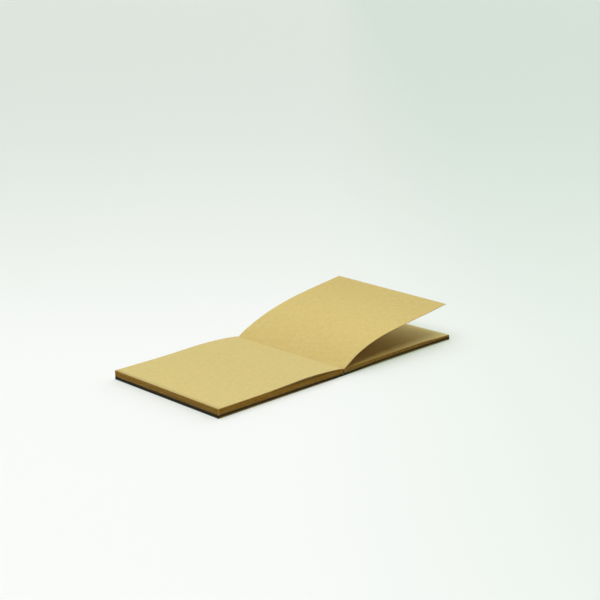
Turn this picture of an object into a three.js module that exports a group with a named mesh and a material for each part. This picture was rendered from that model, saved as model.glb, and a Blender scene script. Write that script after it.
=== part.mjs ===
// Pocket notebook with a lay-flat glued binding, lying open, one leaf of the right stack raised.
// Millimetres, +Z up, +Y along the spine, +X from the spine across the right-hand (back) stack.
// The origin is on the table, under the middle of the spine. The notebook closes about a line
// along Y, 5.6 above the origin: half of what the two stacks measure together, at their highest.
// Every sheet is a thin profile in the XZ plane, extruded along the spine.

import * as THREE from 'three';

// ---- driving dimensions -------------------------------------------------------------------

const PAGE_WIDTH = 100;           // spine to fore-edge
const PAGE_HEIGHT = 99.5;         // along the spine

const BOARD_THICKNESS = 0.8;      // kraft cover board
const LINING_THICKNESS = 0.7;     // black lining glued on the board and turned up the spine
const BOARD_TO_SPINE = 5;         // the board stops short of the spine, which leaves a hinge
const HINGE_CREASE = 2.5;         // where the bare lining bends between the spine and the board
const HINGE_DIP = 0.78;           // how far the cover is pressed down at the spine
const HINGE_DIP_LENGTH = 12;      // how quickly that dip fades away from the spine

const LEAF_THICKNESS = 0.115;
const LEAVES_TO_SPINE = 0.6;      // the leaves' glued edges, measured from the fold line
const GLUE_THICKNESS = 0.15;      // film of glue along those edges
const FLANGE_THICKNESS = 0.3;     // the lining's turned-up edge, inside the spine fold
const FLANGE_BELOW_LEAVES = 1.2;  // the flange ends this far below the stack's top leaf
const PILE_ON_COVER = 0.05;       // slack between the cover and the first leaf

// Each pile: how many leaves it has, their spacing, how far it sinks into the cover's dip,
// how far its top leaf arches up, and how much higher that leaf swells beside the spine.
const FRONT_PILE = { side: -1, leaves: 30, pitch: 0.14, sink: 1, arch: 0, swell: 0.93 };
const BACK_PILE = { side: 1, leaves: 14, pitch: 0.125, sink: 0.15, arch: 1.1, swell: 0 };
const GLUED_PITCH = 0.12;         // the leaves lie closer together at their glued edges
const GLUED_REACH = 5;            // how quickly they open to their own pitch
const ARCH_FROM_SPINE = 70;       // from here the arch comes down, to nothing at the fore-edge
const SWELL_FROM_SPINE = 30;      // where the swelling is highest
const SWELL_REACH = 22;           // how quickly it fades to each side

// The raised leaf is one cubic curve, given by its two ends and its slope and pull at each end.
const RAISED_FOOT_HEIGHT = 4.35;
const RAISED_FOOT_DEGREES = 32.5;
const RAISED_FOOT_PULL = 29;
const RAISED_TIP = new THREE.Vector2(96.6, 27);
const RAISED_TIP_DEGREES = 8.4;
const RAISED_TIP_PULL = 41;
const RAISED_STEPS = 24;

const PILE_STEPS = 12;            // straight steps across one leaf
const STEP_CROWDING = 1.7;        // above 1, the steps are shorter beside the spine

// ---- materials ----------------------------------------------------------------------------

const kraftPaper = () => new THREE.MeshStandardMaterial({ color: 0xd7c484, roughness: 0.9, metalness: 0 });
const kraftBoard = () => new THREE.MeshStandardMaterial({ color: 0x9a7a46, roughness: 0.9, metalness: 0 });
const blackPaper = () => new THREE.MeshStandardMaterial({ color: 0x2a251c, roughness: 0.8, metalness: 0 });
const dryGlue = () => new THREE.MeshStandardMaterial({ color: 0xb59a60, roughness: 0.5, metalness: 0 });

// ---- shapes -------------------------------------------------------------------------------

const notebook = new THREE.Group();

// Distances from the spine at which a sheet's profile has a point.
function stations(from, to, steps) {
  return Array.from({ length: steps + 1 }, (_, i) => from + (to - from) * (i / steps) ** STEP_CROWDING);
}

// A closed outline: out along the lower points, and back along the upper ones.
function extrudeAlongSpine(name, lower, upper, material) {
  const outline = new THREE.Shape([...lower, ...[...upper].reverse()]);
  const geometry = new THREE.ExtrudeGeometry(outline, { depth: PAGE_HEIGHT, bevelEnabled: false });
  geometry.rotateX(Math.PI / 2);
  const mesh = new THREE.Mesh(geometry, material);
  mesh.name = name;
  mesh.position.y = PAGE_HEIGHT / 2;
  notebook.add(mesh);
}

// A sheet between two heights, each a function of the distance from the spine.
function addSheet(name, side, from, to, steps, bottom, top, material) {
  const distances = stations(from, to, steps);
  const lower = distances.map((d) => new THREE.Vector2(side * d, bottom(d)));
  const upper = distances.map((d) => new THREE.Vector2(side * d, top(d)));
  extrudeAlongSpine(name, lower, upper, material);
}

// ---- covers -------------------------------------------------------------------------------

const dip = (d) => HINGE_DIP * Math.exp(-d / HINGE_DIP_LENGTH);
const boardTop = (d) => BOARD_THICKNESS - dip(d);
const liningTop = (d) => boardTop(d) + LINING_THICKNESS;

function addBoard(name, side) {
  addSheet(name, side, BOARD_TO_SPINE, PAGE_WIDTH, PILE_STEPS, () => 0, boardTop, kraftBoard());
}

// The lining lies on the board and turns up along the glued edges, to make one half of the fold.
function addLining(name, pile) {
  const inner = LEAVES_TO_SPINE - GLUE_THICKNESS - FLANGE_THICKNESS;
  const outer = LEAVES_TO_SPINE - GLUE_THICKNESS;
  const flangeTop = pileTop(pile, LEAVES_TO_SPINE) - FLANGE_BELOW_LEAVES;
  const panel = [outer, HINGE_CREASE, ...stations(BOARD_TO_SPINE, PAGE_WIDTH, PILE_STEPS)];
  const lower = panel.map((d) => new THREE.Vector2(pile.side * d, boardTop(d)));
  const upper = panel.map((d) => new THREE.Vector2(pile.side * d, liningTop(d)));
  lower.unshift(new THREE.Vector2(pile.side * inner, boardTop(outer)));
  upper.unshift(
    new THREE.Vector2(pile.side * inner, flangeTop),
    new THREE.Vector2(pile.side * outer, flangeTop),
  );
  extrudeAlongSpine(name, lower, upper, blackPaper());
}

// ---- leaves -------------------------------------------------------------------------------

// Middle height of a leaf, counted from 0 at the cover, at a distance from the spine.
function leafHeight(pile, index, d) {
  const ground = BOARD_THICKNESS + LINING_THICKNESS + PILE_ON_COVER - pile.sink * dip(d);
  const pitch = THREE.MathUtils.lerp(pile.pitch, GLUED_PITCH, Math.exp(-d / GLUED_REACH));
  const swelling = pile.swell * Math.exp(-(((d - SWELL_FROM_SPINE) / SWELL_REACH) ** 2));
  const arch = pile.arch * (1 - THREE.MathUtils.smoothstep(d, ARCH_FROM_SPINE, PAGE_WIDTH));
  const share = (index + 1) / pile.leaves;
  return ground + (index + 0.5) * pitch + share * (arch + swelling);
}

const pileTop = (pile, d) => leafHeight(pile, pile.leaves - 1, d) + LEAF_THICKNESS / 2;
const pileBottom = (pile, d) => leafHeight(pile, 0, d) - LEAF_THICKNESS / 2;

function addPile(prefix, pile) {
  for (let index = 0; index < pile.leaves; index += 1) {
    const name = `${prefix}_${String(index + 1).padStart(2, '0')}`;
    const bottom = (d) => leafHeight(pile, index, d) - LEAF_THICKNESS / 2;
    const top = (d) => leafHeight(pile, index, d) + LEAF_THICKNESS / 2;
    addSheet(name, pile.side, LEAVES_TO_SPINE, PAGE_WIDTH, PILE_STEPS, bottom, top, kraftPaper());
  }
}

// The dry glue that holds one pile's edges, and the flange to them.
function addGlue(name, pile) {
  const bottom = pileBottom(pile, LEAVES_TO_SPINE);
  const top = pileTop(pile, LEAVES_TO_SPINE);
  const outer = LEAVES_TO_SPINE - GLUE_THICKNESS;
  addSheet(name, pile.side, outer, LEAVES_TO_SPINE, 1, () => bottom, () => top, dryGlue());
}

// The raised leaf: its middle line is a cubic curve, thickened by half the paper on each side.
function addRaisedLeaf(name) {
  const foot = new THREE.Vector2(LEAVES_TO_SPINE, RAISED_FOOT_HEIGHT);
  const footPull = polar(RAISED_FOOT_PULL, RAISED_FOOT_DEGREES);
  const tipPull = polar(RAISED_TIP_PULL, RAISED_TIP_DEGREES);
  const curve = new THREE.CubicBezierCurve(
    foot,
    foot.clone().add(footPull),
    RAISED_TIP.clone().sub(tipPull),
    RAISED_TIP,
  );
  const lower = [];
  const upper = [];
  for (let step = 0; step <= RAISED_STEPS; step += 1) {
    const point = curve.getPointAt(step / RAISED_STEPS);
    const along = curve.getTangentAt(step / RAISED_STEPS);
    const half = new THREE.Vector2(-along.y, along.x).multiplyScalar(LEAF_THICKNESS / 2);
    lower.push(point.clone().sub(half));
    upper.push(point.clone().add(half));
  }
  extrudeAlongSpine(name, lower, upper, kraftPaper());
}

function polar(length, degrees) {
  const angle = THREE.MathUtils.degToRad(degrees);
  return new THREE.Vector2(Math.cos(angle), Math.sin(angle)).multiplyScalar(length);
}

// ---- assembly -----------------------------------------------------------------------------

addBoard('front_cover_board', FRONT_PILE.side);
addBoard('back_cover_board', BACK_PILE.side);
addLining('front_cover_lining', FRONT_PILE);
addLining('back_cover_lining', BACK_PILE);
addGlue('front_spine_glue', FRONT_PILE);
addGlue('back_spine_glue', BACK_PILE);
addPile('front_leaf', FRONT_PILE);
addPile('back_leaf', BACK_PILE);
addRaisedLeaf('raised_leaf');

export default notebook;
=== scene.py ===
import math

import bpy
import numpy as np
from mathutils import Matrix, Vector


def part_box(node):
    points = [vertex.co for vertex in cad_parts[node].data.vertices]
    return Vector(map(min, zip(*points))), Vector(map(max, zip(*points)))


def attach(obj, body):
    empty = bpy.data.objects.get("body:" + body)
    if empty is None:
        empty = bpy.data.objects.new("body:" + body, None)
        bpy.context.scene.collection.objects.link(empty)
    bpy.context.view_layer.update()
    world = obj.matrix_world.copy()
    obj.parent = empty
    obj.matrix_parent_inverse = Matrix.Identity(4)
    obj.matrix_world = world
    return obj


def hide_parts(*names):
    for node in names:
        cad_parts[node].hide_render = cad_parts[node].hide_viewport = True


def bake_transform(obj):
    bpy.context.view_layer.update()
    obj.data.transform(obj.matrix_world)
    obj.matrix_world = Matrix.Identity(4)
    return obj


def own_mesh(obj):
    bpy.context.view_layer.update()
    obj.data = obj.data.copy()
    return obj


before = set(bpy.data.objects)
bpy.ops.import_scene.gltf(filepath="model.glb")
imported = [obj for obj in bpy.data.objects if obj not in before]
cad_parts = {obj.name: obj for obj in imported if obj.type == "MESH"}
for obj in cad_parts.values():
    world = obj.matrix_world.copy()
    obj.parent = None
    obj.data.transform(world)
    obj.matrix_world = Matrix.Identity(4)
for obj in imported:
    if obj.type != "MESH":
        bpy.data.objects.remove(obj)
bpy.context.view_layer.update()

MM = 0.001
BODY = {-1: "front", 1: "back"}    # the body on each side of the spine

# ---- sizes, in millimetres unless they say otherwise ----------------------------------------

PAGE_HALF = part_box("raised_leaf")[1].y / MM           # along the spine, from the middle
FORE_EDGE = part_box("back_cover_board")[1].x / MM      # from the spine

SHEET_THICKNESS = 0.1          # a leaf as shown; the CAD leaf is a little thicker
STEPS_PER_STATION = 4          # how finely the CAD profile is smoothed
STEPS_ALONG_SPINE = 30
FINE_STEPS_ALONG_SPINE = 90    # for the leaves whose faces are seen

BACK_COVER_BOW = 0.5           # the back cover stands off the table by this much at its middle
BOARD_TO_LINING = 0.01         # keeps the board's top clear of the lining
LINING_FILL = 0.3              # how much of the slack under the leaves the lining takes up
LINING_TURN = 0.15             # how far the lining dips where it turns up at the spine
FLANGE_STEPS = 4               # how finely its turned-up flange is divided,
FLANGE_FROM_TURN = 0.5         # which begins this far above the turn
CORNER = ((0.04, 0.2), (0.25, 0.0))    # between them, points out from the flange and above the turn
PILE_ON_COVER = 0.03           # slack between the lining and the first leaf

SIDE_TRIM = 0.09               # each leaf is up to this much short at its fore-edge,
LEAST_END_TRIM = 0.02          # at least this much short at its head and foot,
END_TRIM = 0.07                # and up to this much shorter than that
FRAY = 0.015                   # how uneven the cut is along the head and foot
GAP_CONTRAST = 1.7             # how unevenly the slack in a pile is shared out,
GAP_CONTRAST_AT_SPINE = 0.35   # and the share of that unevenness beside the spine
TOP_LEAF_GAP = 16.0            # the share of it that goes under the front pile's top leaf,
TOP_LEAF_GAP_FROM_SPINE = 28   # where that gap is widest,
TOP_LEAF_GAP_REACH = 20        # how quickly it closes to each side,
TOP_LEAF_GAP_REST = 0.4        # and the share elsewhere
SHADED_LEAVES = 6              # how many leaves under it have its shadow painted on their edges

# The raised leaf's twist: at a distance from the spine, how far its head edge is above its middle.
RAISED_TWIST = (
    (0, 0.0), (5, -0.03), (11, -0.36), (20, -0.35),
    (34, 0.0), (56, 0.75), (80, 1.12), (100, 1.15),
)
TWIST_STEPS = 6                # how finely that is smoothed
RAISED_SAG = 0.65              # its tip hangs this much below the CAD curve
RAISED_COCKLE = 0.10           # how far it waves up and down

FOLD_CLEARANCE = 0.08          # the two leaves that meet in the gutter stop this far from its middle
FOLD_DROP = 0.3                # how far the left one turns down into it
FOLD_STEPS = 4                 # how finely that turn is divided
FOLD_LEG = 0.045               # the lining's fold: from the gutter's middle to each of its legs
FOLD_FOOT = 0.13               # and to their feet, which meet the flanges
FOLD_THICKNESS = 0.05
FOLD_RIDGE_RISE = 0.12         # its ridge is this far above the higher flange
FOLD_LEG_DROP = 0.1            # its legs begin to spread this far below each flange's top
FOLD_FOOT_DROP = 0.6           # and end this far below it

GLUE_STEPS = 11                # how finely the glue's height is divided
GLUE_INSET = 0.04              # how far its face stands back from the CAD face
GLUE_LUMPS = 0.02              # and how uneven it is

# ---- stage, in metres -----------------------------------------------------------------------

CAMERA_PLACE = Vector((-0.5077, -0.5550, 0.2485))
CAMERA_TARGET = Vector((0.1020, 0.0972, -0.0004))
CAMERA_ROLL = math.radians(-1.45)
CAMERA_SENSOR = 36             # its width, in millimetres
CAMERA_LENS = 73.96            # in millimetres
BACKDROP_DIRECTION = Vector((0.66, 0.72, 0.2)).normalized()
SIDE_DIRECTION = Vector((0.92, 0.0, 0.34)).normalized()
OVERHEAD_PLACE = Vector((-0.12, 0.18, 1.0))
SOFTBOX_PLACE = Vector((-0.40, -0.15, 0.8))
SOFTBOX_TARGET = Vector((-0.1, -0.1, 0))
FLOOR_HALF = 40.0
FLOOR_DEPTH = 0.00002          # just below the covers


# ---- material nodes --------------------------------------------------------------------------

class Nodes:
    """Adds and links the shader nodes of one material in short calls. Texture sizes are in
    millimetres, and positions are those of the notebook lying open."""

    def __init__(self, name):
        self.material = bpy.data.materials.new(name)
        self.material.use_nodes = True
        self.tree = self.material.node_tree
        self.shader = self.tree.nodes["Principled BSDF"]
        coordinates = self.tree.nodes.new("ShaderNodeTexCoord")
        self.position = coordinates.outputs["Object"]

    def link(self, source, target):
        self.tree.links.new(source, target)

    def set(self, node, socket, value):
        """Gives an input a value, or links it to the socket that makes the value."""
        if isinstance(value, bpy.types.NodeSocket):
            self.link(value, node.inputs[socket])
        else:
            node.inputs[socket].default_value = value

    def stretched(self, scales):
        """The position, with each axis scaled: a large scale makes a texture fine along it."""
        node = self.tree.nodes.new("ShaderNodeMapping")
        self.link(self.position, node.inputs["Vector"])
        node.inputs["Scale"].default_value = scales
        return node.outputs["Vector"]

    def axis(self, name):
        """One coordinate, in metres: X across the pages, Y along the spine, Z the height."""
        node = self.tree.nodes.new("ShaderNodeSeparateXYZ")
        self.link(self.position, node.inputs[0])
        return node.outputs[name]

    def noise(self, size_mm, detail=2.0, roughness=0.5, distortion=0.0, vector=None, offset=0.0):
        """Noise from 0 to 1 whose lumps measure about size_mm."""
        node = self.tree.nodes.new("ShaderNodeTexNoise")
        node.noise_dimensions = "4D"
        self.link(vector or self.position, node.inputs["Vector"])
        node.inputs["W"].default_value = offset
        node.inputs["Scale"].default_value = 1 / (size_mm * MM)
        node.inputs["Detail"].default_value = detail
        node.inputs["Roughness"].default_value = roughness
        node.inputs["Distortion"].default_value = distortion
        return node.outputs["Fac"]

    def math(self, operation, a, b=0.0):
        node = self.tree.nodes.new("ShaderNodeMath")
        node.operation = operation
        self.set(node, 0, a)
        self.set(node, 1, b)
        return node.outputs["Value"]

    def ramp(self, value, start, end, low=0.0, high=1.0):
        """Maps start..end to low..high, smoothly and clamped."""
        node = self.tree.nodes.new("ShaderNodeMapRange")
        node.interpolation_type = "SMOOTHSTEP"
        self.link(value, node.inputs["Value"])
        node.inputs["From Min"].default_value = start
        node.inputs["From Max"].default_value = end
        node.inputs["To Min"].default_value = low
        node.inputs["To Max"].default_value = high
        return node.outputs["Result"]

    def mix(self, share, a, b, blend="MIX"):
        """Blends colour b over colour a by a share from 0 to 1."""
        node = self.tree.nodes.new("ShaderNodeMix")
        node.data_type = "RGBA"
        node.blend_type = blend
        for index, value in ((0, share), (6, a), (7, b)):      # the sockets for colours
            self.set(node, index, value)
        return node.outputs[2]

    def fibres(self, size_mm, width, cover, offset):
        """Short curling fibres: thin level lines of a noise, broken up by a second noise."""
        lines = self.noise(size_mm, detail=1.0, distortion=0.6, offset=offset)
        away = self.math("ABSOLUTE", self.math("SUBTRACT", lines, 0.5))
        line = self.ramp(away, 0.0, width, 1.0, 0.0)
        patches = self.noise(size_mm * 0.8, detail=0.0, offset=offset + 7)
        kept = self.ramp(patches, 1 - cover, 1 - cover + 0.06)
        return self.math("MULTIPLY", line, kept)

    def bump(self, height, depth_mm, strength):
        """Raises the surface by a height from 0 to 1, times a depth."""
        node = self.tree.nodes.new("ShaderNodeBump")
        node.inputs["Strength"].default_value = strength
        node.inputs["Distance"].default_value = depth_mm * MM
        self.link(height, node.inputs["Height"])
        self.link(node.outputs["Normal"], self.shader.inputs["Normal"])

    def finish(self, colour, roughness, specular):
        """Sets the surface, and returns the material."""
        self.set(self.shader, "Base Color", colour)
        self.set(self.shader, "Roughness", roughness)
        self.shader.inputs["Specular IOR Level"].default_value = specular
        return self.material


def rgb(red, green, blue):
    """A linear colour."""
    return (red, green, blue, 1.0)


def kraft_page(name, tone=(1.0, 1.0, 1.0), gutter_painted_light=None):
    """Uncoated kraft paper: soft cloudy formation, pale and dark fibres, sparse specks. A copy can
    be tinted all over, and tinted again near the gutter; these tints are painted light and shade."""
    n = Nodes(name)

    def toned(red, green, blue):
        return rgb(red * tone[0], green * tone[1], blue * tone[2])

    cloud = n.ramp(n.noise(3.0, detail=3.0, roughness=0.6), 0.3, 0.7)
    colour = n.mix(cloud, toned(0.590, 0.466, 0.176), toned(0.640, 0.520, 0.226))
    patch = n.ramp(n.noise(16, detail=2.0, offset=3), 0.3, 0.7)
    colour = n.mix(n.math("MULTIPLY", patch, 0.5), colour, toned(0.625, 0.497, 0.192))
    dark = n.fibres(1.5, width=0.012, cover=0.42, offset=11)
    colour = n.mix(n.math("MULTIPLY", dark, 0.30), colour, toned(0.40, 0.27, 0.09))
    pale = n.fibres(1.1, width=0.016, cover=0.45, offset=23)
    colour = n.mix(n.math("MULTIPLY", pale, 0.35), colour, toned(0.80, 0.71, 0.42))
    specks = n.ramp(n.noise(0.7, detail=0.0, offset=31), 0.77, 0.82)
    colour = n.mix(n.math("MULTIPLY", specks, 0.5), colour, toned(0.30, 0.19, 0.06))
    # Painted light and shade near the gutter: a tint multiplies the colour within 30 mm of the
    # spine, fading out by 95 mm.
    if gutter_painted_light:
        gutter = n.ramp(n.math("ABSOLUTE", n.axis("X")), 30 * MM, 95 * MM, 1.0, 0.0)
        colour = n.mix(gutter, colour, rgb(*gutter_painted_light), "MULTIPLY")
    tooth = n.noise(0.22, detail=3.0, roughness=0.6, offset=5)
    relief = n.math("ADD", tooth, n.math("MULTIPLY", n.math("ADD", dark, pale), 0.5))
    n.bump(relief, depth_mm=0.02, strength=0.6)
    return n.finish(colour, roughness=n.ramp(cloud, 0, 1, 0.86, 0.94), specular=0.25)


def cut_edge(name, shaded=False):
    """The guillotined edges of the leaves: darker than the faces, streaked along the sheets, and
    paler at the corners. Painted shade darkens them low in the pile, near the black lining, and
    darkens the fore-edge below its top. Shaded edges are those in the shadow line beside the spine,
    under the leaf that swells up, where a painted shadow darkens them."""
    n = Nodes(name)
    from_spine = n.math("ABSOLUTE", n.axis("X"))
    from_middle = n.math("ABSOLUTE", n.axis("Y"))
    height = n.axis("Z")
    along = n.noise(1.0, detail=3.0, vector=n.stretched((0.16, 0.16, 2.2)), offset=2)
    across = n.noise(1.0, detail=2.0, vector=n.stretched((1.6, 1.6, 0.12)), offset=9)
    streak = n.math("ADD", n.math("MULTIPLY", along, 0.65), n.math("MULTIPLY", across, 0.35))
    colour = n.mix(n.ramp(streak, 0.36, 0.66), rgb(0.268, 0.116, 0.008), rgb(0.368, 0.184, 0.020))
    # Painted shade: the edges darken towards the bottom of the pile, below 2.9 mm in height and most
    # below 1.3 mm.
    painted_low_shade = n.ramp(height, 1.3 * MM, 2.9 * MM, 0.75, 0.0)
    colour = n.mix(painted_low_shade, colour, rgb(0.050, 0.024, 0.004))
    # Painted shade on the fore-edge: darker below its top, and more so towards the foot.
    fore_edge = n.ramp(from_spine, 99.6 * MM, 99.85 * MM)
    painted_fore_edge_shade = n.ramp(height, 3.2 * MM, 5.8 * MM, 0.42, 0.0)
    painted_fore_edge_shade = n.math("MULTIPLY", painted_fore_edge_shade, n.ramp(n.axis("Y"), -30 * MM, 50 * MM, 1.0, 0.5))
    colour = n.mix(n.math("MULTIPLY", fore_edge, painted_fore_edge_shade), colour, rgb(0.050, 0.030, 0.006))
    # Painted shadow: on the shaded edges, a deep red-brown from 2 to 64 mm from the spine.
    if shaded:
        begins = n.ramp(from_spine, 2 * MM, 14 * MM)
        ends = n.ramp(from_spine, 38 * MM, 64 * MM, 1.0, 0.0)
        colour = n.mix(n.math("MULTIPLY", begins, ends), colour, rgb(0.100, 0.028, 0.001))
    at_side = n.ramp(from_spine, 98.9 * MM, 99.5 * MM)
    at_end = n.ramp(from_middle, 48.8 * MM, 49.3 * MM)
    corner = n.math("MULTIPLY", n.math("MULTIPLY", at_side, at_end), 0.45)
    colour = n.mix(corner, colour, rgb(0.56, 0.38, 0.10))
    n.bump(n.noise(0.16, detail=2.0, offset=4), depth_mm=0.03, strength=0.8)
    return n.finish(colour, roughness=0.95, specular=0.05)


def kraft_board():
    """Brown cover board: coarser, darker and more flecked than the leaves."""
    n = Nodes("kraft_board")
    cloud = n.ramp(n.noise(4.5, detail=4.0, roughness=0.6), 0.3, 0.7)
    colour = n.mix(cloud, rgb(0.300, 0.190, 0.070), rgb(0.385, 0.255, 0.105))
    dark = n.fibres(2.2, width=0.014, cover=0.5, offset=41)
    colour = n.mix(n.math("MULTIPLY", dark, 0.5), colour, rgb(0.17, 0.10, 0.035))
    pale = n.fibres(1.7, width=0.018, cover=0.5, offset=53)
    colour = n.mix(n.math("MULTIPLY", pale, 0.45), colour, rgb(0.52, 0.39, 0.19))
    specks = n.ramp(n.noise(0.9, detail=0.0, offset=61), 0.74, 0.80)
    colour = n.mix(n.math("MULTIPLY", specks, 0.6), colour, rgb(0.12, 0.07, 0.03))
    tooth = n.noise(0.35, detail=3.0, roughness=0.6, offset=6)
    n.bump(n.math("ADD", tooth, n.math("ADD", dark, pale)), depth_mm=0.03, strength=0.6)
    return n.finish(colour, roughness=n.ramp(cloud, 0, 1, 0.80, 0.90), specular=0.3)


def board_edge():
    """The cut edge of the cover board: the same pulp in rough layers."""
    n = Nodes("board_edge")
    layers = n.noise(1.0, detail=3.0, vector=n.stretched((0.25, 0.25, 2.6)), offset=71)
    colour = n.mix(n.ramp(layers, 0.35, 0.65), rgb(0.19, 0.105, 0.010), rgb(0.34, 0.215, 0.035))
    n.bump(n.noise(0.2, detail=2.0, offset=73), depth_mm=0.05, strength=0.9)
    return n.finish(colour, roughness=0.95, specular=0.05)


def black_paper():
    """Black lining: matte, faintly warm, with pale lint and a fine tooth."""
    n = Nodes("black_paper")
    cloud = n.ramp(n.noise(2.5, detail=3.0, offset=81), 0.3, 0.7)
    colour = n.mix(cloud, rgb(0.012, 0.011, 0.008), rgb(0.024, 0.021, 0.016))
    lint = n.fibres(1.4, width=0.012, cover=0.35, offset=83)
    colour = n.mix(n.math("MULTIPLY", lint, 0.25), colour, rgb(0.20, 0.17, 0.12))
    n.bump(n.noise(0.25, detail=3.0, offset=85), depth_mm=0.03, strength=0.7)
    return n.finish(colour, roughness=n.ramp(cloud, 0, 1, 0.7, 0.85), specular=0.2)


def dry_glue():
    """Padding glue: amber, lumpy, glossier than paper."""
    n = Nodes("dry_glue")
    cloud = n.ramp(n.noise(1.6, detail=3.0, offset=91), 0.3, 0.7)
    colour = n.mix(cloud, rgb(0.36, 0.24, 0.09), rgb(0.52, 0.38, 0.18))
    n.bump(n.noise(0.6, detail=3.0, offset=93), depth_mm=0.08, strength=0.8)
    return n.finish(colour, roughness=n.ramp(cloud, 0, 1, 0.35, 0.55), specular=0.5)


# ---- reading the frame -----------------------------------------------------------------------

def outline(node):
    """A CAD sheet's outline at its head, as points (distance from the spine, height) in mm,
    sorted and rounded to a micrometre."""
    vertices = np.array([v.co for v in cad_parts[node].data.vertices]) / MM
    head = vertices[vertices[:, 1] > vertices[:, 1].max() - 0.01]
    return np.unique(np.round(np.abs(head[:, [0, 2]]), 3), axis=0)


def middle_line(node):
    """A CAD sheet's profile halfway through it. Its outline's points come in pairs, below and
    above."""
    return outline(node).reshape(-1, 2, 2).mean(1)


def smooth_line(points, steps):
    """A Catmull-Rom curve through the points, with this many steps from each to the next."""
    padded = np.vstack([2 * points[0] - points[1], points, 2 * points[-1] - points[-2]])
    t = np.arange(steps)[:, None] / steps
    parts = []
    for p0, p1, p2, p3 in zip(padded, padded[1:], padded[2:], padded[3:]):
        cubic = -p0 + 3 * p1 - 3 * p2 + p3
        square = 2 * p0 - 5 * p1 + 4 * p2 - p3
        parts.append(0.5 * (2 * p1 + (p2 - p0) * t + square * t**2 + cubic * t**3))
    return np.vstack([*parts, points[-1:]])


# ---- mesh building ---------------------------------------------------------------------------

def waves(across, along, count, longest, seed):
    """A smooth random field from about -1 to 1, as a sum of slanted waves, over two grids in mm."""
    random = np.random.default_rng(seed)
    field = np.zeros(np.broadcast(across, along).shape)
    for _ in range(count):
        length = longest * random.uniform(0.35, 1.0)
        heading = random.uniform(0, math.tau)
        phase = random.uniform(0, math.tau)
        run = across * math.cos(heading) + along * math.sin(heading)
        field += np.sin(math.tau * run / length + phase)
    return field / math.sqrt(count)


def slab(name, lower, upper, body, materials, slot):
    """A closed sheet between two grids of points in mm, riding on a body unless that is None. Its
    materials are for the upper face, the cut edges, the underside and the fore-edge; in a shorter
    list, the underside is like the upper face and the fore-edge like the other edges."""
    rows, columns = lower.shape[:2]
    points = np.concatenate([lower.reshape(-1, 3), upper.reshape(-1, 3)]) * MM
    index = np.arange(rows * columns).reshape(rows, columns)
    top = index + rows * columns
    faces = []

    def strip(a, b):
        """Quads between two rows of indices of the same length."""
        faces.extend(zip(a[:-1], a[1:], b[1:], b[:-1]))

    for row in range(rows - 1):
        strip(top[row], top[row + 1])
    upper_faces = len(faces)
    for row in range(rows - 1):
        strip(index[row + 1], index[row])
    flat_faces = len(faces)
    strip(index[0], top[0])
    strip(top[:, 0], index[:, 0])
    strip(index[:, -1], top[:, -1])
    trimmed_faces = len(faces)
    strip(top[-1], index[-1])
    mesh = bpy.data.meshes.new(name)
    mesh.from_pydata(points.tolist(), [], [tuple(map(int, face)) for face in faces])
    for material in materials:
        mesh.materials.append(material)
    cut = min(1, len(materials) - 1)
    kind = np.zeros(len(faces), np.int32)
    kind[upper_faces:flat_faces] = 2 if len(materials) > 2 else 0
    kind[flat_faces:trimmed_faces] = cut
    kind[trimmed_faces:] = 3 if len(materials) > 3 else cut
    mesh.polygons.foreach_set("material_index", kind)
    smooth = np.zeros(len(faces), bool)
    smooth[:flat_faces] = True
    mesh.polygons.foreach_set("use_smooth", smooth)
    mesh.update()
    face_outwards(mesh)
    piece = bpy.data.objects.new(name, mesh)
    bpy.context.scene.collection.objects.link(piece)
    if body is not None:
        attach(piece, body)
    return piece


def face_outwards(mesh):
    """Turns a mesh inside out if its faces point in."""
    corners = np.array([v.co for v in mesh.vertices])
    volume = 0.0
    for face in mesh.polygons:
        a, b, c, d = (corners[i] for i in face.vertices)
        volume += np.dot(a, np.cross(b, c)) + np.dot(a, np.cross(c, d))
    if volume < 0:
        mesh.flip_normals()


def ribbon(line, thickness):
    """The lower and upper edges of a profile, half its thickness to each side of its middle."""
    along = np.gradient(line, axis=0)
    along /= np.linalg.norm(along, axis=1)[:, None]
    normal = np.stack([-along[:, 1], along[:, 0]], axis=1)
    half = np.broadcast_to(np.asarray(thickness) / 2, len(line))[:, None]
    return line - normal * half, line + normal * half


def spread(profile, side, stations):
    """A grid of points: the profile repeated at each station along the spine."""
    grid = np.empty((len(profile), len(stations), 3))
    grid[:, :, 0] = side * profile[:, :1]
    grid[:, :, 1] = stations
    grid[:, :, 2] = profile[:, 1:]
    return grid


def spine_stations(steps):
    """Places along the spine, from foot to head."""
    return np.linspace(-PAGE_HALF, PAGE_HALF, steps + 1)


# ---- covers ----------------------------------------------------------------------------------

def bow(side, distance):
    """How far a cover stands off the table. Only the back cover is slightly arched."""
    if side < 0:
        return np.zeros_like(distance)
    return BACK_COVER_BOW * np.sin(np.pi * np.clip(distance / FORE_EDGE, 0, 1)) ** 0.8


def lining_profile(side):
    """The lining's middle line and thickness, from the flange's top round the hinge to the
    fore-edge."""
    points = outline(BODY[side] + "_cover_lining")
    flange_inner, flange_outer = np.unique(points[:, 0])[:2]
    panel = points[points[:, 0] > flange_outer].reshape(-1, 2, 2)
    middle = panel.mean(1)
    flange_middle = (flange_inner + flange_outer) / 2
    turn = middle[0, 1] - LINING_TURN
    heights = np.linspace(points[:, 1].max(), turn + FLANGE_FROM_TURN, FLANGE_STEPS + 1)
    flange = [(flange_middle, height) for height in heights]
    corner = [(flange_middle + out, turn + up) for out, up in CORNER]
    line = smooth_line(np.array([*flange, *corner, *middle]), STEPS_PER_STATION)
    flange_thickness = flange_outer - flange_inner
    panel_thickness = np.ptp(panel[0, :, 1]) + LINING_FILL
    share = np.clip((line[:, 0] - flange_middle) / (middle[0, 0] - flange_middle), 0, 1)
    line[:, 1] += LINING_FILL / 2 * share
    return line, flange_thickness + (panel_thickness - flange_thickness) * share


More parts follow.
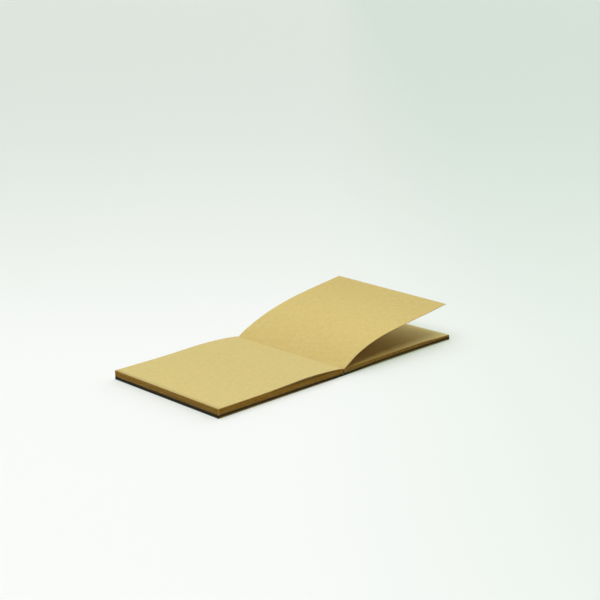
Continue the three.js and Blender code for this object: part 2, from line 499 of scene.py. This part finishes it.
def add_cover(side, board_materials, lining_materials):
    """One cover: its board and its lining. Returns a function that gives the height of the
    lining's top at distances from the spine."""
    body = BODY[side]
    stations = spine_stations(STEPS_ALONG_SPINE)
    line, thickness = lining_profile(side)
    line[:, 1] += bow(side, line[:, 0])
    lower, upper = ribbon(line, thickness)
    lining = slab(
        body + "_lining", spread(lower, side, stations), spread(upper, side, stations),
        body, lining_materials, "black_paper",
    )
    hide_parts(body + "_cover_lining")

    board_top = middle_line(body + "_cover_board")
    board_top[:, 1] *= 2      # its underside is at 0
    top = smooth_line(board_top, STEPS_PER_STATION)
    bottom = np.stack([top[:, 0], bow(side, top[:, 0])], axis=1)
    top[:, 1] += bow(side, top[:, 0]) - BOARD_TO_LINING
    board = slab(
        body + "_board", spread(bottom, side, stations), spread(top, side, stations),
        body, board_materials, "kraft_board",
    )
    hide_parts(body + "_cover_board")
    panel = upper[-len(top):]
    return lambda distance: np.interp(distance, panel[:, 0], panel[:, 1])


# ---- leaves ----------------------------------------------------------------------------------

def leaf_nodes(side):
    """The CAD nodes of one pile's leaves, from the cover up."""
    prefix = BODY[side] + "_leaf_"
    return sorted(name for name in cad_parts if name.startswith(prefix))


def gap_shares(side, count, distance, stations):
    """How the slack of a pile is shared out between the gaps under its leaves, at each point of
    the page. The gaps differ most at the fore-edge."""
    across, along = distance[:, None], stations[None, :]
    shares = []
    for leaf in range(count):
        field = waves(across, along, count=5, longest=150, seed=1000 * (side + 2) + leaf)
        rise = GAP_CONTRAST_AT_SPINE + (1 - GAP_CONTRAST_AT_SPINE) * across / FORE_EDGE
        shares.append(np.exp(GAP_CONTRAST * field * rise))
    if side < 0:
        spot = np.exp(-(((across - TOP_LEAF_GAP_FROM_SPINE) / TOP_LEAF_GAP_REACH) ** 2))
        shares[-1] = shares[-1] * TOP_LEAF_GAP_REST + TOP_LEAF_GAP * spot
    shares = np.array(shares)
    return shares / shares.sum(0)


def add_pile(side, cover_top, page, top_page, edge, shaded_edge):
    """All the leaves of one pile, in the room between the cover and the CAD pile's top."""
    nodes = leaf_nodes(side)
    top_leaf = len(nodes) - 1
    top_line = smooth_line(middle_line(nodes[top_leaf]), STEPS_PER_STATION)
    distance = top_line[:, 0]
    ground = cover_top(distance)[:, None] + SHEET_THICKNESS / 2 + PILE_ON_COVER
    room = top_line[:, 1][:, None] - ground - SHEET_THICKNESS * top_leaf
    for steps, leaves in (
        (STEPS_ALONG_SPINE, range(top_leaf)),
        (FINE_STEPS_ALONG_SPINE, [top_leaf]),
    ):
        y = spine_stations(steps)
        shares = gap_shares(side, top_leaf, distance, y)
        for leaf in leaves:
            height = ground + SHEET_THICKNESS * leaf + room * shares[:leaf].sum(0)
            profile = distance, height
            if side < 0 and leaf == top_leaf:
                profile = into_fold(distance, height)
            face = top_page if leaf == top_leaf else page
            shaded = side < 0 and top_leaf - SHADED_LEAVES <= leaf < top_leaf
            cut = shaded_edge if shaded else edge
            add_leaf(nodes[leaf], side, *profile, y, face, cut, leaf)


def into_fold(distance, height):
    """Carries a leaf on from its glued edge to the middle of the gutter, turning down."""
    extra = np.linspace(FOLD_CLEARANCE, distance[0], FOLD_STEPS + 1)[:-1]
    drop = FOLD_DROP * (1 - extra / distance[0]) ** 1.5
    return np.concatenate([extra, distance]), np.vstack([height[:1] - drop[:, None], height])


def add_leaf(node, side, distance, height, y, page, edge, seed):
    """One leaf, trimmed a few hundredths of a millimetre unevenly."""
    trim = np.random.default_rng(seed + 50 * (side + 2))
    reach = distance[-1] - trim.uniform(0.0, SIDE_TRIM)
    shrink = 1 - (FORE_EDGE - reach) / FORE_EDGE * (distance / FORE_EDGE)
    fray = FRAY * waves(distance, np.zeros(1), count=4, longest=30, seed=seed)
    shorten = 1 - (trim.uniform(0.0, END_TRIM) + LEAST_END_TRIM + fray) / PAGE_HALF
    middle = np.empty((len(distance), len(y), 3))
    middle[:, :, 0] = side * (distance * shrink)[:, None]
    middle[:, :, 1] = y[None, :] * shorten[:, None]
    middle[:, :, 2] = height
    half = np.array([0, 0, SHEET_THICKNESS / 2])
    leaf = slab(
        node + "_sheet", middle - half, middle + half, BODY[side], [page, edge], "kraft_paper",
    )
    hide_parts(node)


def twist(distance):
    """How far the raised leaf's head edge is above its middle."""
    stations, rises = smooth_line(np.array(RAISED_TWIST), TWIST_STEPS).T
    return np.interp(distance, stations, rises)


def add_raised_leaf(page, edge, underside):
    """The leaf that stands up: the CAD curve, carried on into the gutter, and twisted a little so
    that its head corner is higher."""
    y = spine_stations(FINE_STEPS_ALONG_SPINE)
    middle = middle_line("raised_leaf")
    slope = (middle[1] - middle[0]) / (middle[1, 0] - middle[0, 0])
    in_gutter = middle[0] + slope * (FOLD_CLEARANCE + SHEET_THICKNESS / 2 - middle[0, 0])
    line = smooth_line(np.vstack([in_gutter, middle]), STEPS_PER_STATION)
    grids = []
    for edge_line in ribbon(line, SHEET_THICKNESS):
        grid = spread(edge_line, 1, y)
        reach = (grid[:, :, 0] / FORE_EDGE).clip(0, 1)
        grid[:, :, 2] += twist(grid[:, :, 0]) * grid[:, :, 1] / PAGE_HALF - RAISED_SAG * reach**2
        cockle = waves(line[:, :1], y[None, :], count=6, longest=90, seed=77)
        grid[:, :, 2] += RAISED_COCKLE * cockle * reach * (1 - reach**4)
        grids.append(grid)
    leaf = slab("raised_leaf_sheet", *grids, "turning_leaf", [page, edge, underside], "kraft_paper")
    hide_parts("raised_leaf")
    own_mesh(leaf)


# ---- spine -----------------------------------------------------------------------------------

def add_glue(side, material):
    """A lumpy film of dry glue along one pile's spine edges. It ends below the leaf that turns
    down into the fold."""
    body = BODY[side]
    node = body + "_spine_glue"
    low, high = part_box(node)
    near = min(abs(low.x), abs(high.x)) / MM
    far = max(abs(low.x), abs(high.x)) / MM
    y = spine_stations(FINE_STEPS_ALONG_SPINE)
    z = np.linspace(low.z / MM, high.z / MM - 2 * FOLD_DROP, GLUE_STEPS + 1)
    inner = np.empty((len(z), len(y), 3))
    inner[:, :, 1] = y
    inner[:, :, 2] = z[:, None]
    outer = inner.copy()
    lumps = waves(z[:, None] * 6, y[None, :], count=8, longest=7, seed=17 + side)
    inner[:, :, 0] = side * (near + GLUE_INSET + GLUE_LUMPS * lumps)
    outer[:, :, 0] = side * far
    film = slab(body + "_glue_film", inner, outer, body, [material], "binding_glue")
    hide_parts(node)


def add_spine_fold(material):
    """The lining's fold between the two flanges. It has points only on its two legs."""
    front, back = (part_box(BODY[side] + "_cover_lining")[1].z / MM for side in (-1, 1))
    ridge = max(front, back) + FOLD_RIDGE_RISE
    line = np.array([
        (FOLD_FOOT, back - FOLD_FOOT_DROP),
        (FOLD_LEG, back - FOLD_LEG_DROP),
        (FOLD_LEG, ridge),
        (-FOLD_LEG, ridge),
        (-FOLD_LEG, front - FOLD_LEG_DROP),
        (-FOLD_FOOT, front - FOLD_FOOT_DROP),
    ])
    y = spine_stations(STEPS_ALONG_SPINE)
    lower, upper = (spread(edge_line, 1, y) for edge_line in ribbon(line, FOLD_THICKNESS))
    fold = slab("spine_fold", lower, upper, None, [material], "black_paper")
    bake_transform(fold)


# ---- stage -----------------------------------------------------------------------------------

def add_floor():
    """A pale floor with painted light falloff, darker towards the right and the front left, and a
    faint glow that is painted light.
    """
    mesh = bpy.data.meshes.new("floor")
    corners = [(-1, -1), (1, -1), (1, 1), (-1, 1)]
    places = [(x * FLOOR_HALF, y * FLOOR_HALF, -FLOOR_DEPTH) for x, y in corners]
    mesh.from_pydata(places, [], [(0, 1, 2, 3)])
    floor = bpy.data.objects.new("floor", mesh)
    bpy.context.scene.collection.objects.link(floor)
    n = Nodes("pale_floor")
    # Painted light falloff: the floor is painted darker towards +X and -Y, to the right as the
    # camera sees it.
    right = n.ramp(n.math("SUBTRACT", n.axis("X"), n.axis("Y")), -0.02, 0.30)
    colour = n.mix(right, rgb(0.712, 0.629, 0.716), rgb(0.627, 0.589, 0.646))
    # Painted shade: darker towards the front left, where X + Y is low; a faint random mottle is
    # added.
    painted_front_falloff = n.ramp(n.math("ADD", n.axis("X"), n.axis("Y")), -0.4, 0.1, 0.95, 1.0)
    cloud = n.math("ADD", painted_front_falloff, n.math("MULTIPLY", n.noise(120, detail=2.0), 0.01))
    # Painted light: the floor glows faintly green, which lifts its shadows and turns them green.
    n.shader.inputs["Emission Color"].default_value = rgb(0.155, 0.257, 0.166)
    n.shader.inputs["Emission Strength"].default_value = 1.0
    colour = n.mix(1.0, colour, cloud, "MULTIPLY")
    mesh.materials.append(n.finish(colour, roughness=0.9, specular=0.1))


def add_lights():
    """A wide soft source overhead, a softbox at the left, and the glow of pale surroundings behind
    the notebook and to its right."""
    world = bpy.data.worlds.new("studio")
    bpy.context.scene.world = world
    world.use_nodes = True
    tree = world.node_tree
    background = tree.nodes["Background"]
    background.inputs["Color"].default_value = rgb(0.95, 1.0, 0.92)
    both = tree.nodes.new("ShaderNodeMath")
    both.operation = "ADD"
    tree.links.new(glow(tree, BACKDROP_DIRECTION, 0.2, 0.95, 0.05, 0.65), both.inputs[0])
    tree.links.new(glow(tree, SIDE_DIRECTION, 0.78, 1.0, 0.0, 1.7), both.inputs[1])
    tree.links.new(both.outputs["Value"], background.inputs["Strength"])
    overhead = bpy.data.lights.new("overhead", "SUN")
    overhead.energy = 1.63
    overhead.angle = math.radians(80)
    overhead.color = (0.98, 1.0, 0.96)
    place_light(overhead, OVERHEAD_PLACE, Vector((0, 0, 0)))
    softbox = bpy.data.lights.new("softbox", "AREA")
    softbox.size = 0.7
    softbox.energy = 3.2
    softbox.color = (1.0, 0.96, 0.96)
    place_light(softbox, SOFTBOX_PLACE, SOFTBOX_TARGET)


def glow(tree, direction, start, end, low, high):
    """The world's strength around a direction. start and end are cosines of the angle from it: the
    strength is low where the cosine is below start, and high where it is above end."""
    facing = tree.nodes.new("ShaderNodeVectorMath")
    facing.operation = "DOT_PRODUCT"
    facing.inputs[1].default_value = direction
    coordinates = tree.nodes.new("ShaderNodeTexCoord")
    tree.links.new(coordinates.outputs["Generated"], facing.inputs[0])
    strength = tree.nodes.new("ShaderNodeMapRange")
    strength.interpolation_type = "SMOOTHSTEP"
    tree.links.new(facing.outputs["Value"], strength.inputs["Value"])
    strength.inputs["From Min"].default_value = start
    strength.inputs["From Max"].default_value = end
    strength.inputs["To Min"].default_value = low
    strength.inputs["To Max"].default_value = high
    return strength.outputs["Result"]


def place_light(light, place, target):
    """Puts a light at a place, turned to a target."""
    lamp = bpy.data.objects.new(light.name, light)
    lamp.location = place
    lamp.rotation_euler = (place - target).to_track_quat("Z", "Y").to_euler()
    bpy.context.scene.collection.objects.link(lamp)


def add_camera():
    """A long lens from the front left, a little above the table."""
    data = bpy.data.cameras.new("camera")
    data.sensor_width = CAMERA_SENSOR
    data.lens = CAMERA_LENS
    data.clip_start = 0.01
    data.clip_end = 200
    camera = bpy.data.objects.new("camera", data)
    look = (CAMERA_TARGET - CAMERA_PLACE).to_track_quat("-Z", "Y").to_matrix().to_4x4()
    roll = Matrix.Rotation(CAMERA_ROLL, 4, "Z")
    camera.matrix_world = Matrix.Translation(CAMERA_PLACE) @ look @ roll
    bpy.context.scene.collection.objects.link(camera)
    bpy.context.scene.camera = camera


# ---- assembly --------------------------------------------------------------------------------

page = kraft_page("kraft_page")
# Painted light on the raised leaf: its paper is tinted warmer, and painted 10% lighter within 30 mm
# of the spine, fading out by 95 mm.
raised_page_painted_light = kraft_page("kraft_page_raised_painted_light", (0.998, 0.970, 0.880), gutter_painted_light=(1.10, 1.10, 1.10))
# Painted shade on the raised leaf's underside: its paper is tinted darker and redder.
underside = kraft_page("kraft_page_underside_painted_shade", (0.95, 0.83, 0.72))
# The back pile's top page: painted light tints it paler and bluer, and painted shade from the raised
# leaf darkens and browns it within 30 mm of the spine, fading out by 95 mm.
covered_page_painted_light_and_shade = kraft_page("kraft_page_covered_painted_light_and_shade", (1.04, 1.06, 1.14), gutter_painted_light=(0.80, 0.69, 0.50))
edge = cut_edge("cut_edge")
shaded_edge = cut_edge("cut_edge_shaded", shaded=True)
board, board_cut = kraft_board(), board_edge()
lining = black_paper()
glue = dry_glue()

for side, top_page in ((-1, page), (1, covered_page_painted_light_and_shade)):
    cover_top = add_cover(side, [board, board_cut, board, lining], [lining])
    add_pile(side, cover_top, page, top_page, edge, shaded_edge)
    add_glue(side, glue)
add_raised_leaf(raised_page_painted_light, edge, underside)
add_spine_fold(lining)
add_floor()
add_lights()
add_camera()
bpy.context.scene.view_settings.view_transform = "Standard"
